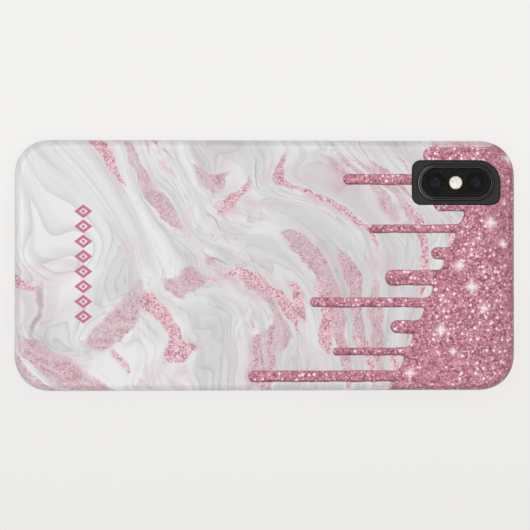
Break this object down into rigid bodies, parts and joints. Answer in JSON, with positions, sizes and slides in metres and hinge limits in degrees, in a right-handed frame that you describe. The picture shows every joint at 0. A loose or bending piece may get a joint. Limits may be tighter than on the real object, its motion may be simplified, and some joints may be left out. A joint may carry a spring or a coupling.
{
  "type": "phone case",
  "caption": "Slim layered case for a large phone: printed hard shell over a soft liner, with button caps, a pile lining and a lens guard in its camera opening.",
  "frame": {"origin": "middle of the case, on the surface that its front rim rests on", "axes": "+X towards the phone's top end, +Y towards its power-button side, +Z out of its back"},
  "size_m": [0.1614, 0.0808, 0.0112],
  "materials": {
    "printed_shell": "glossy hard plastic, printed with pale marble and rose-gold glitter",
    "soft_black": "matt black thermoplastic rubber",
    "grey_pile": "short dark grey pile",
    "cap_black": "satin black plastic",
    "bezel_metal": "black anodised, polished edge",
    "mask_black": "black, smooth",
    "clear_glass": "clear, polished",
    "coated_glass": "dark blue lens coating",
    "flash_cream": "cream diffuser with fine ridges"
  },
  "bodies": {
    "case": {"outer_shell": "printed_shell", "soft_liner": "soft_black", "pile_lining": "grey_pile", "lens_guard_bezel": "bezel_metal", "lens_guard_gasket": "soft_black", "lens_guard_mask": "mask_black", "lens_guard_glass": "clear_glass", "lower_lens_window": "coated_glass", "upper_lens_window": "coated_glass", "flash_window": "flash_cream"},
    "power_button": {"power_button_cap": "cap_black"},
    "volume_up": {"volume_up_cap": "cap_black"},
    "volume_down": {"volume_down_cap": "cap_black"}
  },
  "joints": [
    {"name": "power_button_press", "type": "slide", "parent": "case", "child": "power_button", "axis": [0, -1, 0], "range_m": [0, 0.0003], "stiffness_N_per_m": 1000},
    {"name": "volume_up_press", "type": "slide", "parent": "case", "child": "volume_up", "axis": [0, 1, 0], "range_m": [0, 0.0003], "stiffness_N_per_m": 1000},
    {"name": "volume_down_press", "type": "slide", "parent": "case", "child": "volume_down", "axis": [0, 1, 0], "range_m": [0, 0.0003], "stiffness_N_per_m": 1000}
  ]
}
